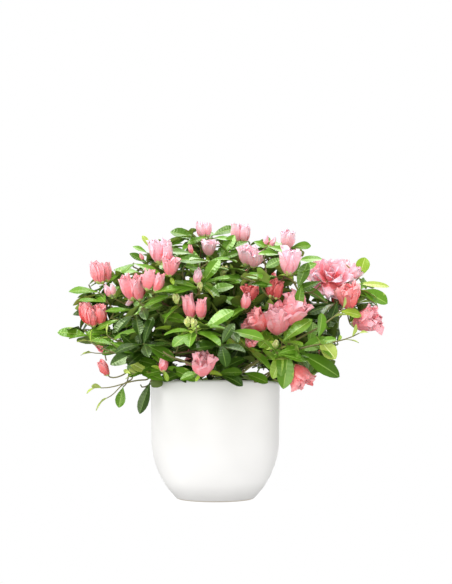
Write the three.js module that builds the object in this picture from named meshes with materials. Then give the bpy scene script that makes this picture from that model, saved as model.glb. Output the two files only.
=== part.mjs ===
// A flowering azalea shrub in a round white pot: the pot, its potting soil, a short trunk, the boughs,
// and the masses of leaf and blossom that they carry.
// Millimetres, +Z up. The origin is the centre of the pot's flat underside, +X is the right-hand side
// and -Y the front.
import * as THREE from "three";
import { mergeVertices } from "three/addons/utils/BufferGeometryUtils.js";

// ---------------------------------------------------------------- driving dimensions
const GAP = 0.3; // clearance between solids that touch

const POT = {
  radius: 70, // at the rim
  height: 126,
  wall: 6.5,
  taper: 0.6, // how far the wall leans in, from the rim down to the belly
  bellyTop: 66, // height at which the straight wall turns into the belly
  bellyArc: 92, // radius of the belly's curve
  toe: 5, // radius of the rounded foot edge
  floor: 7,
  sides: 40,
};

const SOIL = {
  edge: 114, // height where the soil meets the wall
  top: 121, // height of the level mound round the trunk
  moundRadius: 42,
};

const TRUNK = {
  foot: [19, 0], // where it stands on the soil
  fork: [9, -2], // where its axis is at the fork
  height: 20,
  flareRadius: 12, // at the root flare
  neckRadius: 7,
  forkRadius: 8,
  flareLength: 0.17, // the share of the height over which the flare dies away
  sides: 12,
  rings: 7,
};

// The middle of the boughs' spread. A mass lies in a direction from here, an azimuth (0 right, 90 back)
// and an elevation in degrees, and its outer tip is so many millimetres away.
const HUB = new THREE.Vector3(8, 0, 128);

// Radii of a mass in each tier: outwards, sideways and upwards. uneven is how far a mass falls back
// between its tufts, as a share of its size.
const TIERS = {
  skirt: { radii: [58, 52, 40], uneven: 0.24 },
  shoulder: { radii: [60, 56, 46], uneven: 0.2 },
  crown: { radii: [58, 56, 50], uneven: 0.18 },
};

const MASSES = [
  { name: "skirt_right", azimuth: 0, elevation: 11, tip: 134, size: 0.86 },
  { name: "skirt_back_right", azimuth: 48, elevation: 17, tip: 174, size: 1 },
  { name: "skirt_back", azimuth: 92, elevation: 15, tip: 170, size: 1 },
  { name: "skirt_back_left", azimuth: 136, elevation: 17, tip: 176, size: 1 },
  { name: "skirt_left", azimuth: 178, elevation: 17, tip: 186, size: 1 },
  { name: "skirt_front_left", azimuth: 216, elevation: 5, tip: 156, size: 0.98 },
  { name: "skirt_front", azimuth: 262, elevation: 13, tip: 166, size: 1 },
  { name: "skirt_front_right", azimuth: 312, elevation: 10, tip: 158, size: 1 },
  { name: "shoulder_right", azimuth: 356, elevation: 29, tip: 200, size: 1.04 },
  { name: "shoulder_back_right", azimuth: 58, elevation: 42, tip: 182, size: 1 },
  { name: "shoulder_back_left", azimuth: 122, elevation: 42, tip: 182, size: 1 },
  { name: "shoulder_left", azimuth: 181, elevation: 36, tip: 195, size: 1.04 },
  { name: "shoulder_front_left", azimuth: 240, elevation: 43, tip: 178, size: 1 },
  { name: "shoulder_front_right", azimuth: 303, elevation: 41, tip: 180, size: 1 },
  { name: "crown_back", azimuth: 84, elevation: 70, tip: 178, size: 1 },
  { name: "crown_left", azimuth: 205, elevation: 76, tip: 184, size: 1 },
  { name: "crown_right", azimuth: 325, elevation: 63, tip: 180, size: 1 },
];
const TUFTS = 10; // tufts that stand out of each mass
const TUFT_SHARPNESS = 9;
const MASS_DETAIL = 3; // subdivisions of the icosahedron that a mass starts from
const RIM_CLEARANCE = 3; // between the masses and the slanting plane over the pot's rim

// A shoulder bough leaves the trunk below its fork, and every other bough leaves a shoulder bough.
const BOUGH = {
  sides: 7,
  rings: 6,
  tipShare: 0.5, // tip radius as a share of the radius at the start
  skirt: { radius: 2.2, bow: -5, leavesAt: 0.3 },
  shoulder: { radius: 3, bow: 7, leavesAt: 0.8, inside: 0.3 },
  crown: { radius: 2.2, bow: 4, leavesAt: 0.42 },
};

const COLOURS = {
  pot: 0xf4f3f0,
  soil: 0x3a2a20,
  bark: 0x6d5238,
  foliage: 0x4f8a2c,
};

// ---------------------------------------------------------------- helpers
const radians = THREE.MathUtils.degToRad;
const UP = new THREE.Vector3(0, 0, 1);
const finish = (color, roughness) => new THREE.MeshStandardMaterial({ color, roughness, metalness: 0 });
const materials = {
  pot: finish(COLOURS.pot, 0.3),
  soil: finish(COLOURS.soil, 1),
  bark: finish(COLOURS.bark, 0.85),
  foliage: finish(COLOURS.foliage, 0.6),
};

const plant = new THREE.Group();

function place(name, geometry, material) {
  const mesh = new THREE.Mesh(geometry, material);
  mesh.name = name;
  plant.add(mesh);
  return mesh;
}

// The numbers from 0 to 1 that divide it into equal steps, both ends included.
const shares = (steps) => Array.from({ length: steps + 1 }, (_, i) => i / steps);

// A repeatable random number generator, 0 to 1.
function seeded(seed) {
  let state = seed;
  return () => {
    state = (state * 16807) % 2147483647;
    return state / 2147483647;
  };
}

// Points of an arc in the (radius, height) plane, between two angles in radians.
const arc = (centreR, centreZ, radius, from, to, steps) =>
  shares(steps).map((share) => {
    const angle = from + (to - from) * share;
    return new THREE.Vector2(centreR + radius * Math.cos(angle), centreZ + radius * Math.sin(angle));
  });

// A solid of revolution about Z, from a profile that starts and ends on the axis.
const turned = (profile) => new THREE.LatheGeometry(profile, POT.sides).rotateX(Math.PI / 2);

// ---------------------------------------------------------------- pot and soil
const bellyCentre = POT.radius - POT.taper - POT.bellyArc;

// The angle on the belly's curve at which a face that is inset from the outer one reaches a height.
const bellyAngle = (inset, height) => -Math.asin((POT.bellyTop - height) / (POT.bellyArc - inset));

// The belly's curve, from an angle up to the straight wall.
const belly = (inset, lowest, steps) =>
  arc(bellyCentre, POT.bellyTop, POT.bellyArc - inset, lowest, 0, steps);

function potProfile() {
  const lip = POT.wall / 2;
  const toeAngle = bellyAngle(POT.toe, POT.toe);
  const toeCentre = bellyCentre + (POT.bellyArc - POT.toe) * Math.cos(toeAngle);
  return [
    new THREE.Vector2(0, 0),
    ...arc(toeCentre, POT.toe, POT.toe, -Math.PI / 2, toeAngle, 3),
    ...belly(0, toeAngle, 8).slice(1),
    ...arc(POT.radius - lip, POT.height - lip, lip, 0, Math.PI, 6),
    ...belly(POT.wall, bellyAngle(POT.wall, POT.floor), 5).reverse(),
    new THREE.Vector2(0, POT.floor),
  ];
}

function soilProfile() {
  const inset = POT.wall + GAP;
  const bottom = POT.floor + GAP;
  return [
    new THREE.Vector2(0, bottom),
    ...belly(inset, bellyAngle(inset, bottom), 5),
    new THREE.Vector2(POT.radius - inset, SOIL.edge),
    new THREE.Vector2(SOIL.moundRadius, SOIL.top),
    new THREE.Vector2(0, SOIL.top),
  ];
}

// ---------------------------------------------------------------- limbs
// A limb is a curve and the radius at each share of its length. Its solid is a closed tapering tube.
function limbGeometry({ curve, radiusAt }, sides, rings) {
  const { normals, binormals } = curve.computeFrenetFrames(rings, false);
  const positions = [];
  shares(rings).forEach((share, i) => {
    const centre = curve.getPointAt(share);
    for (let k = 0; k < sides; k++) {
      const angle = (2 * Math.PI * k) / sides;
      const out = normals[i].clone().multiplyScalar(Math.cos(angle));
      out.addScaledVector(binormals[i], Math.sin(angle));
      positions.push(...centre.clone().addScaledVector(out, radiusAt(share)));
    }
  });
  positions.push(...curve.getPointAt(0), ...curve.getPointAt(1));
  const lastRing = rings * sides;
  const footCentre = lastRing + sides;
  const tipCentre = footCentre + 1;
  const faces = [];
  for (let k = 0; k < sides; k++) {
    const next = (k + 1) % sides;
    faces.push(footCentre, next, k);
    faces.push(tipCentre, lastRing + k, lastRing + next);
    for (let ring = 0; ring < lastRing; ring += sides) {
      const [a, b] = [ring + k, ring + next];
      faces.push(a, b, b + sides, a, b + sides, a + sides);
    }
  }
  return new THREE.BufferGeometry()
    .setAttribute("position", new THREE.Float32BufferAttribute(positions, 3))
    .setIndex(faces);
}

// How far a point lies outside a limb's skin.
const clearOf = (limb, point) =>
  Math.min(...shares(60).map((share) => limb.curve.getPointAt(share).distanceTo(point) - limb.radiusAt(share)));

// The rim of a disc of the given radius that lies square across a curve.
function discRim(curve, share, radius) {
  const along = curve.getTangentAt(share);
  const across = new THREE.Vector3().crossVectors(along, UP).normalize();
  const upwards = new THREE.Vector3().crossVectors(across, along);
  return shares(8).map((turn) =>
    curve
      .getPointAt(share)
      .addScaledVector(across, radius * Math.cos(2 * Math.PI * turn))
      .addScaledVector(upwards, radius * Math.sin(2 * Math.PI * turn)),
  );
}

// The rest of a curve, from the first share of its length where a disc across it clears the parent limb.
function clearOfParent(curve, radius, parent) {
  const start = shares(200).find((share) =>
    discRim(curve, share, radius).every((point) => clearOf(parent, point) >= GAP),
  );
  const points = shares(12).map((share) => curve.getPointAt(Math.min(1, start + (1 - start) * share)));
  return new THREE.CatmullRomCurve3(points);
}

// The trunk rises from the soil, leans over and widens again where the boughs leave it.
function trunkLimb() {
  const foot = new THREE.Vector3(...TRUNK.foot, SOIL.top + GAP);
  const fork = new THREE.Vector3(...TRUNK.fork, foot.z + TRUNK.height);
  const belowFork = fork.clone().lerp(foot, 0.3);
  const aboveFoot = foot.clone().addScaledVector(UP, TRUNK.height * 0.4);
  const flare = TRUNK.flareRadius - TRUNK.neckRadius;
  const swell = TRUNK.forkRadius - TRUNK.neckRadius;
  return {
    fork,
    curve: new THREE.CubicBezierCurve3(foot, aboveFoot, belowFork, fork),
    radiusAt: (share) => TRUNK.neckRadius + flare * Math.exp(-share / TRUNK.flareLength) + swell * share ** 2,
  };
}

// A bough leaves its parent's skin and ends at the skin of the mass that it carries.
function boughLimb(mass, parent) {
  const { radius, bow, leavesAt } = BOUGH[mass.tier];
  const tipRadius = radius * BOUGH.tipShare;
  const from = parent.curve.getPointAt(leavesAt);
  const straight = mass.centre.clone().sub(from).normalize();
  const skin = new THREE.Raycaster(from, straight).intersectObject(mass.mesh)[0];
  const middle = from.clone().lerp(skin.point, 0.5).addScaledVector(UP, bow);
  const arrival = skin.point.clone().sub(middle).normalize();
  const squareness = Math.abs(arrival.dot(skin.face.normal));
  const slant = Math.sqrt(1 - squareness ** 2);
  const end = skin.point.addScaledVector(arrival, -(GAP * 1.5 + tipRadius * slant) / squareness);
  const whole = new THREE.QuadraticBezierCurve3(from, middle, end);
  return {
    curve: clearOfParent(whole, radius, parent),
    radiusAt: (share) => radius + (tipRadius - radius) * share,
  };
}

// ---------------------------------------------------------------- masses of foliage
// The direction of an azimuth and an elevation in degrees.
function direction(azimuth, elevation) {
  const level = Math.cos(radians(elevation));
  return new THREE.Vector3(
    Math.cos(radians(azimuth)) * level,
    Math.sin(radians(azimuth)) * level,
    Math.sin(radians(elevation)),
  );
}

// The centre of a mass, its three axes and its three radii.
function laidOut(mass) {
  const tier = mass.name.split("_")[0];
  const radii = TIERS[tier].radii.map((radius) => radius * mass.size);
  const outwards = direction(mass.azimuth, mass.elevation);
  const sideways = direction(mass.azimuth + 90, 0);
  const upwards = new THREE.Vector3().crossVectors(outwards, sideways);
  const centre = HUB.clone().addScaledVector(outwards, mass.tip - radii[0]);
  return { ...mass, tier, radii, centre, axes: [outwards, sideways, upwards] };
}

// A half-space that a mass keeps to: the side of a plane, square to the way from its centre to a point,
// that lies nearer than a share of that way and a clearance short of it.
function limitTowards(mass, point, share, clearance) {
  const way = point.clone().sub(mass.centre);
  const reach = way.length() * share - clearance;
  return { way: way.normalize(), reach };
}

// A mass keeps to its share of the room towards each neighbour, clear of the shoulder boughs that pass
// it, and outside a plane that slants outwards over the pot's rim.
function limitsOf(mass, masses) {
  const others = masses.filter((other) => other !== mass);
  const neighbours = others.map((other) =>
    limitTowards(mass, other.centre, mass.radii[1] / (mass.radii[1] + other.radii[1]), GAP),
  );
  const passing = others.filter((other) => other.tier === "shoulder");
  const boughs = passing.map((other) => {
    const free = new THREE.Line3(trunk.fork, other.centre.clone().lerp(trunk.fork, BOUGH.shoulder.inside));
    const nearest = free.closestPointToPoint(mass.centre, true, new THREE.Vector3());
    return limitTowards(mass, nearest, 1, BOUGH.shoulder.radius + BOUGH.shoulder.bow);
  });
  const offRim = direction(mass.azimuth, 45);
  const rim = direction(mass.azimuth, 0).multiplyScalar(POT.radius).addScaledVector(UP, POT.height);
  const room = mass.centre.clone().sub(rim).dot(offRim) - RIM_CLEARANCE;
  return [...neighbours, ...boughs, { way: offRim.negate(), reach: room }];
}

// The directions and heights of a mass's tufts, as shares of its size. The first is its outer tip.
function tuftsOf(mass, seed) {
  const random = seeded(seed);
  const { uneven } = TIERS[mass.tier];
  const tufts = [{ way: mass.axes[0], height: uneven }];
  while (tufts.length < TUFTS) {
    const way = direction(360 * random(), THREE.MathUtils.radToDeg(Math.asin(2 * random() - 1)));
    tufts.push({ way, height: uneven * (0.4 + 0.6 * random()) });
  }
  return tufts;
}

// An uneven closed solid: an ellipsoid that falls back between its tufts, held to its limits.
function massGeometry(mass, limits, seed) {
  const { uneven } = TIERS[mass.tier];
  const tufts = tuftsOf(mass, seed);
  const ball = new THREE.IcosahedronGeometry(1, MASS_DETAIL);
  ball.deleteAttribute("normal");
  ball.deleteAttribute("uv");
  const geometry = mergeVertices(ball, 1e-4);
  const points = geometry.getAttribute("position");
  for (let i = 0; i < points.count; i++) {
    const way = new THREE.Vector3().fromBufferAttribute(points, i).normalize();
    const ellipsoid = 1 / Math.hypot(...mass.axes.map((axis, k) => way.dot(axis) / mass.radii[k]));
    const risen = tufts.map((tuft) => tuft.height * Math.exp(TUFT_SHARPNESS * (way.dot(tuft.way) - 1)));
    const free = ellipsoid * (1 - uneven + Math.max(...risen));
    const stops = limits.map((limit) => limit.reach / Math.max(way.dot(limit.way), 1e-6));
    way.multiplyScalar(Math.min(free, ...stops)).add(mass.centre);
    points.setXYZ(i, ...way);
  }
  return geometry;
}

// ---------------------------------------------------------------- assembly
place("pot", turned(potProfile()), materials.pot);
place("soil", turned(soilProfile()), materials.soil);

const trunk = trunkLimb();
place("trunk", limbGeometry(trunk, TRUNK.sides, TRUNK.rings), materials.bark);

const masses = MASSES.map(laidOut);
masses.forEach((mass, i) => {
  const geometry = massGeometry(mass, limitsOf(mass, masses), 101 + i);
  mass.mesh = place(`foliage_${mass.name}`, geometry, materials.foliage);
});

function growBough(mass, parent) {
  const limb = boughLimb(mass, parent);
  place(`bough_${mass.name}`, limbGeometry(limb, BOUGH.sides, BOUGH.rings), materials.bark);
  return limb;
}

// The angle between two azimuths in degrees, 0 to 180.
const apart = (a, b) => 180 - Math.abs(180 - (Math.abs(a - b) % 360));

const shoulders = masses.filter((mass) => mass.tier === "shoulder");
for (const shoulder of shoulders) shoulder.limb = growBough(shoulder, trunk);

// Each side bough grows on the shoulder bough nearest to it in azimuth.
for (const mass of masses.filter((other) => other.tier !== "shoulder")) {
  const turns = shoulders.map((shoulder) => apart(shoulder.azimuth, mass.azimuth));
  growBough(mass, shoulders[turns.indexOf(Math.min(...turns))].limb);
}

export default plant;
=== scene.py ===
"""A flowering azalea shrub in a round white pot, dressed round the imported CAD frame.

Everything is in metres, in the frame of the CAD model: the origin is the centre of the pot's underside,
+Z is up and -Y is the front. Sizes written in millimetres are multiplied by MM.
"""
import math
from collections import namedtuple
from itertools import cycle

import bpy
import numpy as np
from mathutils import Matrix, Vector
from mathutils.bvhtree import BVHTree


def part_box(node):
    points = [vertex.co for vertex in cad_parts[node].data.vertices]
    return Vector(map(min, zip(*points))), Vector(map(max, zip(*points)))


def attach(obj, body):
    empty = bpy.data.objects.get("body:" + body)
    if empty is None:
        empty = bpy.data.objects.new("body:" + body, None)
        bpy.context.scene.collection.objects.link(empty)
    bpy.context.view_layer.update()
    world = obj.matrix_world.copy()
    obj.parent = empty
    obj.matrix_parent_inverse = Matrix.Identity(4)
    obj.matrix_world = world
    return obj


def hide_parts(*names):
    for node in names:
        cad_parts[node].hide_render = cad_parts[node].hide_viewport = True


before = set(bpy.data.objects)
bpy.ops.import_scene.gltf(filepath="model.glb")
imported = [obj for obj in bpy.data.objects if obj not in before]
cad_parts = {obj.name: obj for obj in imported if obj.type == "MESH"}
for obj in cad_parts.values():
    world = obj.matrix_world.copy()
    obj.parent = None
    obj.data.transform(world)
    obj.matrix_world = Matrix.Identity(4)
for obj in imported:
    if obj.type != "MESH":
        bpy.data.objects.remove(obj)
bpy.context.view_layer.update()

MM = 0.001
UP = np.array([0.0, 0.0, 1.0])
SOIL_SEED, BARK_SEED, PLANT_SEED = 11, 21, 7

# ------------------------------------------------------------------ camera and light
CAMERA = np.array([0.0, -0.85, 0.088])
LENS = 48.1  # for a 36 mm sensor
SHIFT = (0.0183, 0.215)  # the photo's frame lies above and to the right of the pot
WORLD_LIGHT = 0.42
FLOOR_LIGHT = 0.41
FLOOR_REACH = 110 * MM
FLOOR_LEVEL = -0.2 * MM  # just under the foot ring
CROWN_AIM = (0.0, 0.0, 0.2)
FOOT_AIM = (0.0, 0.0, 0.08)
# The lamps: name, place, aim, size and watts.
LAMPS = [
    ("key", (-0.5, -0.6, 1.25), CROWN_AIM, 0.5, 15.5),
    ("top", (0.15, 0.35, 1.3), CROWN_AIM, 0.9, 13),
    ("front", (-0.25, -1.28, 0.03), FOOT_AIM, 0.9, 10.2),
    ("left", (-1.25, -0.35, 0.1), FOOT_AIM, 1.1, 7),
    ("right", (1.25, -0.35, 0.1), FOOT_AIM, 1.1, 8),
    ("back", (0.1, 1.3, 0.25), FOOT_AIM, 1.0, 8),
]


def srgb(red, green, blue):
    """A colour as Blender wants it, from the 0 to 255 values that a screen shows."""
    values = [c / 255 for c in (red, green, blue)]
    linear = [c / 12.92 if c <= 0.04045 else ((c + 0.055) / 1.055) ** 2.4 for c in values]
    return (*linear, 1.0)


def add_object(name, data):
    made = bpy.data.objects.new(name, data)
    bpy.context.collection.objects.link(made)
    return made


def place_camera():
    camera = add_object("camera", bpy.data.cameras.new("camera"))
    camera.data.lens = LENS
    camera.data.shift_x, camera.data.shift_y = SHIFT
    camera.location = CAMERA
    camera.rotation_euler = (math.pi / 2, 0, 0)
    bpy.context.scene.camera = camera


def light_studio():
    scene = bpy.context.scene
    scene.view_settings.view_transform = "Standard"
    for name, place, aim, size, watts in LAMPS:
        lamp = add_object(name, bpy.data.lights.new(name, "AREA"))
        lamp.data.size = size
        lamp.data.energy = watts
        lamp.location = place
        lamp.rotation_euler = (Vector(aim) - Vector(place)).to_track_quat("-Z", "Y").to_euler()
    light_world(scene)
    lay_floor()


def light_world(scene):
    """White all round: full white where the camera looks past the plant, dimmer as light on it."""
    scene.world = bpy.data.worlds.new("studio")
    scene.world.use_nodes = True
    tree = scene.world.node_tree
    background = tree.nodes["Background"]
    background.inputs["Color"].default_value = (1, 1, 1, 1)
    tree.links.new(glow(tree, WORLD_LIGHT, 1.0), background.inputs["Strength"])


def lay_floor():
    """The white table round the foot, which takes only a faint shadow."""
    mesh = bpy.data.meshes.new("floor")
    rim = [(FLOOR_REACH * math.cos(a), FLOOR_REACH * math.sin(a), FLOOR_LEVEL) for a in round_steps(96)]
    mesh.from_pydata(rim, [], [range(len(rim))])
    material, shader, tree = plain_finish("table", (0.2, 0.2, 0.2, 1), 1.0, Specular_IOR_Level=0.0)
    shader.inputs["Emission Color"].default_value = (1, 1, 1, 1)
    tree.links.new(glow(tree, FLOOR_LIGHT, 0.92), shader.inputs["Emission Strength"])
    mesh.materials.append(material)
    add_object("floor", mesh)


# ------------------------------------------------------------------ materials
LEAF_VEINS = 2.8  # waves over the UV map
PETAL_RIBS = 2.5


def plain_finish(name, colour, roughness, **sockets):
    """A principled material with one base colour. Returns it with its shader and its node tree."""
    material = bpy.data.materials.new(name)
    material.use_nodes = True
    shader = material.node_tree.nodes["Principled BSDF"]
    set_sockets(shader, Base_Color=colour, Roughness=roughness, **sockets)
    return material, shader, material.node_tree


def set_sockets(node, **sockets):
    for socket, value in sockets.items():
        node.inputs[socket.replace("_", " ")].default_value = value


def add_node(tree, kind, **sockets):
    node = tree.nodes.new(kind)
    set_sockets(node, **sockets)
    return node


def noise(tree, scale, detail=4.0, stretch=(1, 1, 1)):
    """Noise over the object's own coordinates, in features of about 1/scale metres."""
    place = add_node(tree, "ShaderNodeTexCoord")
    mapping = add_node(tree, "ShaderNodeMapping", Scale=stretch)
    pattern = add_node(tree, "ShaderNodeTexNoise", Scale=scale, Detail=detail)
    tree.links.new(place.outputs["Object"], mapping.inputs["Vector"])
    tree.links.new(mapping.outputs["Vector"], pattern.inputs["Vector"])
    return pattern.outputs["Fac"]


def waves(tree, direction, scale, distortion, detail):
    """Waves along one direction of the UV map."""
    uv = add_node(tree, "ShaderNodeUVMap")
    pattern = add_node(tree, "ShaderNodeTexWave", Scale=scale, Distortion=distortion, Detail=detail)
    pattern.bands_direction = direction
    tree.links.new(uv.outputs["UV"], pattern.inputs["Vector"])
    return pattern.outputs["Fac"]


def mottle(tree, shader, value, stops):
    """Run the base colour over a value from 0 to 1, through pairs of position and colour."""
    node = add_node(tree, "ShaderNodeValToRGB")
    while len(node.color_ramp.elements) < len(stops):
        node.color_ramp.elements.new(0.5)
    for element, (position, colour) in zip(node.color_ramp.elements, stops):
        element.position = position
        element.color = srgb(*colour)
    tree.links.new(value, node.inputs["Fac"])
    tree.links.new(node.outputs["Color"], shader.inputs["Base Color"])


def spread(tree, value, low, high):
    """A value from 0 to 1 spread over another range."""
    node = add_node(tree, "ShaderNodeMapRange", To_Min=low, To_Max=high)
    tree.links.new(value, node.inputs["Value"])
    return node.outputs["Result"]


def glow(tree, as_light, to_camera):
    """A strength of light that differs between what it lights and what the camera sees of it."""
    path = add_node(tree, "ShaderNodeLightPath")
    return spread(tree, path.outputs["Is Camera Ray"], as_light, to_camera)


def bump(tree, shader, height, depth, strength=1.0):
    node = add_node(tree, "ShaderNodeBump", Distance=depth, Strength=strength)
    tree.links.new(height, node.inputs["Height"])
    tree.links.new(node.outputs["Normal"], shader.inputs["Normal"])


def glaze_finish():
    """White satin glaze with a faint orange peel."""
    material, shader, tree = plain_finish(
        "glaze", srgb(237, 236, 234), 0.5, Coat_Weight=0.12, Coat_Roughness=0.45
    )
    mottle(tree, shader, noise(tree, 18, 2), [(0.3, (231, 230, 228)), (0.7, (236, 235, 233))])
    tree.links.new(spread(tree, noise(tree, 60, 3), 0.45, 0.56), shader.inputs["Roughness"])
    bump(tree, shader, noise(tree, 700, 3), 0.05 * MM, 0.5)
    return material


def clay_finish():
    """The bare fired clay of the foot ring."""
    material, shader, tree = plain_finish("bare_clay", srgb(226, 218, 205), 0.85)
    bump(tree, shader, noise(tree, 1500, 6), 0.15 * MM)
    return material


def soil_finish():
    material, shader, tree = plain_finish("peat", srgb(48, 34, 26), 1.0)
    tones = [(0.3, (26, 18, 14)), (0.55, (52, 37, 28)), (0.75, (86, 62, 44))]
    mottle(tree, shader, noise(tree, 420, 8), tones)
    bump(tree, shader, noise(tree, 1200, 8), 0.6 * MM)
    return material


def bark_finish():
    """Brown bark, furrowed along the limb."""
    dark, light = (40, 28, 20), (104, 78, 54)
    material, shader, tree = plain_finish("bark_old", srgb(*light), 0.85)
    mottle(tree, shader, noise(tree, 500, 8, (1, 1, 0.35)), [(0.35, dark), (0.7, light)])
    bump(tree, shader, noise(tree, 1100, 8, (1, 1, 0.4)), 0.35 * MM)
    return material


def twig_finish(name, colour):
    material, shader, tree = plain_finish(name, colour, 0.6)
    bump(tree, shader, noise(tree, 1800, 5), 0.12 * MM)
    return material


def leaf_finish(name, colour, roughness, depth):
    """A leaf face: one base colour, with side veins that the UV map runs out from the midrib."""
    material, shader, tree = plain_finish(
        name, colour, roughness, Specular_IOR_Level=0.6, Specular_Tint=(0.8, 1.0, 0.55, 1.0)
    )
    bump(tree, shader, waves(tree, "X", LEAF_VEINS, 1.2, 1.0), depth, 0.8)
    uneven = spread(tree, noise(tree, 150, 3), roughness - 0.06, roughness + 0.1)
    tree.links.new(uneven, shader.inputs["Roughness"])
    return material


def petal_finish(name, colour):
    """Soft matt petal, with fine ribs that the UV map runs along it."""
    material, shader, tree = plain_finish(
        name, colour, 0.6, Sheen_Weight=0.05, Specular_IOR_Level=0.25,
        Specular_Tint=(1.0, 0.8, 0.78, 1.0), Subsurface_Weight=0.25,
        Subsurface_Radius=(1.0, 0.32, 0.26), Subsurface_Scale=1.5 * MM,
    )
    bump(tree, shader, waves(tree, "Y", PETAL_RIBS, 2.0, 2.0), 0.15 * MM, 0.6)
    return material


# ------------------------------------------------------------------ lines, rings and sheets
SHARP_ANGLE = math.radians(70)  # edges sharper than this aren't shaded smooth


def unit(vectors):
    return vectors / np.maximum(np.linalg.norm(vectors, axis=-1, keepdims=True), 1e-9)


def square_to(vectors, directions):
    """The directions nearest to some vectors that are square to other directions."""
    return unit(vectors - directions * np.sum(vectors * directions, axis=-1, keepdims=True))


def sideways(axis, angle):
    """The direction square to an axis at an angle round it."""
    first = unit(np.cross(axis, [0.23, 0.95, 0.21]))
    return math.cos(angle) * first + math.sin(angle) * np.cross(axis, first)


def smoothstep(values):
    t = np.clip(values, 0, 1)
    return t * t * (3 - 2 * t)


def round_steps(sides):
    """Angles at equal steps round a full turn."""
    return np.linspace(0, math.tau, sides, endpoint=False)


def distance_along(line):
    """How far along a line each of its points lies."""
    return np.concatenate([[0], np.cumsum(np.linalg.norm(np.diff(line, axis=0), axis=1))])


def points_at(wanted, along, line):
    """The places on a line at the wanted distances, given how far along it its points lie."""
    return np.stack([np.interp(wanted, along, line[:, k]) for k in range(3)], axis=-1)


def grid_quads(rows, columns, wrap=False):
    """Vertex numbers of the quads of a grid, whose columns may close on themselves."""
    index = np.arange(rows * columns).reshape(rows, columns)
    if wrap:
        index = np.hstack([index, index[:, :1]])
    corners = [index[:-1, :-1], index[:-1, 1:], index[1:, 1:], index[1:, :-1]]
    return np.stack(corners, axis=-1).reshape(-1, 4)


class Pile:
    """Gathers vertices and faces of one kind, to be joined into one piece."""

    def __init__(self):
        self.vertices, self.faces, self.tones, self.uvs = [], [], [], []
        self.count = 0

    def add(self, vertices, faces, tones=None, uvs=None):
        """Add a batch. Faces are an array of vertex numbers, tones one material number for each face."""
        self.vertices.append(vertices)
        self.faces.extend((faces + self.count).tolist())
        self.tones.append(np.zeros(len(faces), int) if tones is None else tones)
        if uvs is not None:
            self.uvs.append(uvs)
        self.count += len(vertices)

    def add_skin(self, rings, ends, tones=None, inward=False):
        """Add a closed skin over rings of points, with a fan of triangles to each of its two end points.
        Its faces look out where the rings turn anticlockwise round the way they run, unless inward."""
        rows, sides = rings.shape[:2]
        around = np.arange(sides)
        following = np.roll(around, -1)
        hub, last = rows * sides, (rows - 1) * sides
        fans = np.concatenate([
            np.stack([np.full(sides, hub), following, around], axis=1),
            np.stack([np.full(sides, hub + 1), last + around, last + following], axis=1),
        ])
        if inward:
            fans = fans[:, [0, 2, 1]]
        self.faces.extend((grid_quads(rows, sides, wrap=True) + self.count).tolist())
        self.tones.append(np.zeros(last, int) if tones is None else tones)
        self.add(np.concatenate([rings.reshape(-1, 3), ends]), fans)

    def piece(self, name, materials, slot, replaces):
        """The joined piece, which rides on the one body."""
        mesh = bpy.data.meshes.new(name)
        mesh.from_pydata(np.concatenate(self.vertices).tolist(), [], self.faces)
        for material in materials:
            mesh.materials.append(material)
        mesh.polygons.foreach_set("material_index", np.concatenate(self.tones).astype(np.int32))
        mesh.polygons.foreach_set("use_smooth", np.ones(len(mesh.polygons), bool))
        if self.uvs:
            corner = np.empty(len(mesh.loops), np.int32)
            mesh.loops.foreach_get("vertex_index", corner)
            layer = mesh.uv_layers.new(name="UVMap")
            layer.data.foreach_set("uv", np.concatenate(self.uvs)[corner].ravel())
        mesh.set_sharp_from_angle(angle=SHARP_ANGLE)
        mesh.update()
        piece = add_object(name, mesh)
        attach(piece, "root")
        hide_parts(*replaces)


class Blade:
    """The grid of a thin closed sheet: an upper and a lower face that share their edge."""

    def __init__(self, along, across):
        along, across = np.array(along), np.array(across)
        self.u = along[None, :, None, None]
        self.v = across[None, None, :, None]
        self.steps = np.gradient(along)[None, :, None, None]
        rows, columns = len(along), len(across)
        upper = np.arange(rows * columns).reshape(rows, columns)
        lower = upper.copy()
        inner = (rows - 2) * (columns - 2)
        lower[1:-1, 1:-1] = rows * columns + np.arange(inner).reshape(rows - 2, columns - 2)
        quads = grid_quads(rows, columns)
        self.quads = np.concatenate([quads, lower.ravel()[quads][:, ::-1]])
        self.size = rows * columns + inner
        uv = np.stack(np.meshgrid(along, across, indexing="ij"), axis=-1)
        self.uvs = np.concatenate([uv.reshape(-1, 2), uv[1:-1, 1:-1].reshape(-1, 2)])
        row, column = np.divmod(np.arange(len(quads)), columns - 1)
        self.quad_along = (along[row] + along[row + 1]) / 2
        self.quad_across = (across[column] + across[column + 1]) / 2

    def midrib(self, angle):
        """How far a midrib that leans over by these angles runs up and out from its base."""
        up = np.cumsum(np.cos(angle) * self.steps, axis=1)
        out = np.cumsum(np.sin(angle) * self.steps, axis=1)
        return up - up[:, :1], out - out[:, :1]

    def fill(self, pile, points, thickness, tones):
        """Add many sheets to a pile, from their points as (sheets, rows, columns, 3) and the tones of the
        upper and the lower quads of one."""
        sheets = len(points)
        normal = unit(np.cross(np.gradient(points, axis=2), np.gradient(points, axis=1)))
        lower = points[:, 1:-1, 1:-1] - normal[:, 1:-1, 1:-1] * thickness
        vertices = np.concatenate([points.reshape(sheets, -1, 3), lower.reshape(sheets, -1, 3)], axis=1)
        faces = self.quads + (np.arange(sheets) * self.size)[:, None, None]
        pile.add(
            vertices.reshape(-1, 3), faces.reshape(-1, 4), np.tile(tones, sheets),
            np.tile(self.uvs, (sheets, 1)),
        )


class Sheets:
    """Rows of numbers for sheets of one kind: the base, two directions and some measures of each."""

    def __init__(self):
        self.rows = []

    def add(self, base, first, second, *measures):
        self.rows.append(np.concatenate([base, first, second, measures]))


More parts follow.
